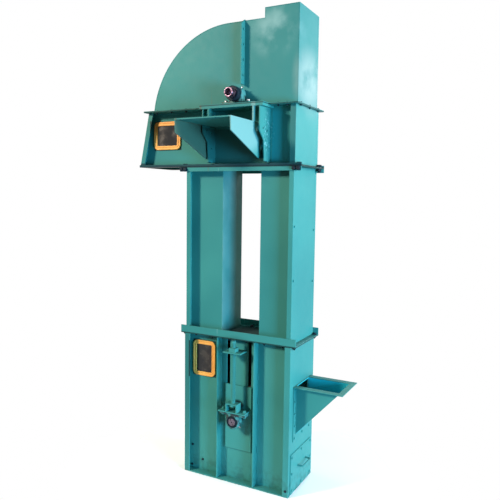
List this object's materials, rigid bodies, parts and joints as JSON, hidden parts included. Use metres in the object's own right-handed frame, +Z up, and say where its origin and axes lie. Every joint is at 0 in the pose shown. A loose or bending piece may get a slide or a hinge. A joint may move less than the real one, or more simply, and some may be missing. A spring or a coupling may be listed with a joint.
{
  "type": "bucket elevator",
  "caption": "Belt bucket elevator with a boot, two legs, a head with a curved hood, a side inlet hopper, screw take-ups and a drive platform.",
  "frame": {"origin": "on the floor under the boot, midway between the two legs", "axes": "+Z up; front with the windows and drive platform faces -Y; inlet hopper on +X, outlet on -X; the shafts lie along Y"},
  "size_m": [1.272, 0.73, 2.6],
  "materials": {
    "casing_steel": "painted",
    "gasket": "matt",
    "pane": "gloss",
    "cast_iron": "painted",
    "shaft_steel": "machined",
    "pulley_steel": "painted",
    "belt_rubber": "matt"
  },
  "bodies": {
    "casing": {"boot_floor": "casing_steel", "boot_left_side": "casing_steel", "boot_right_side": "casing_steel", "cleanout_cover": "casing_steel", "boot_front_left_panel": "casing_steel", "boot_front_right_panel": "casing_steel", "boot_front_lower_panel": "casing_steel", "takeup_nut_bracket_front": "casing_steel", "boot_back_left_panel": "casing_steel", "boot_back_right_panel": "casing_steel", "boot_back_lower_panel": "casing_steel", "takeup_nut_bracket_back": "casing_steel", "boot_window_gasket": "gasket", "boot_window_pane": "pane", "boot_top_plate": "casing_steel", "leg_base_frame": "casing_steel", "left_leg": "casing_steel", "right_leg": "casing_steel", "leg_top_frame": "casing_steel", "head_base_frame": "casing_steel", "head_front_panel": "casing_steel", "head_back_panel": "casing_steel", "head_right_side": "casing_steel", "discharge_side": "casing_steel", "throat_plate": "casing_steel", "head_window_gasket": "gasket", "head_window_pane": "pane", "head_top_frame": "casing_steel", "hood_flange": "casing_steel", "hood_front_side": "casing_steel", "hood_back_side": "casing_steel", "hood_curved_sheet": "casing_steel", "hood_square_sheet": "casing_steel", "hood_joint_flange": "casing_steel", "bearing_seat_front": "casing_steel", "bearing_seat_back": "casing_steel", "drive_platform": "casing_steel", "head_bearing_front": "cast_iron", "head_bearing_back": "cast_iron", "inlet_hopper": "casing_steel", "hopper_rim": "casing_steel", "hopper_flange": "casing_steel", "elevator_belt": "belt_rubber"},
    "takeup": {"takeup_slide_front": "casing_steel", "takeup_slide_back": "casing_steel", "boot_bearing_front": "cast_iron", "boot_bearing_back": "cast_iron", "takeup_screw_front": "casing_steel", "takeup_screw_back": "casing_steel"},
    "boot_rotor": {"boot_shaft": "shaft_steel", "boot_pulley": "pulley_steel"},
    "head_rotor": {"head_shaft": "shaft_steel", "head_pulley": "pulley_steel"}
  },
  "joints": [
    {"name": "head_shaft_turn", "type": "hinge", "parent": "casing", "child": "head_rotor", "pos_m": [0, 0, 2.158], "axis": [0, -1, 0], "continuous": true},
    {"name": "takeup_slide", "type": "slide", "parent": "casing", "child": "takeup", "axis": [0, 0, 1], "range_m": [0, 0.1]},
    {"name": "boot_shaft_turn", "type": "hinge", "parent": "takeup", "child": "boot_rotor", "pos_m": [0, 0, 0.37], "axis": [0, -1, 0], "continuous": true}
  ],
  "couplings": [
    {"joint": "boot_shaft_turn", "follows": "head_shaft_turn", "ratio": 1}
  ]
}
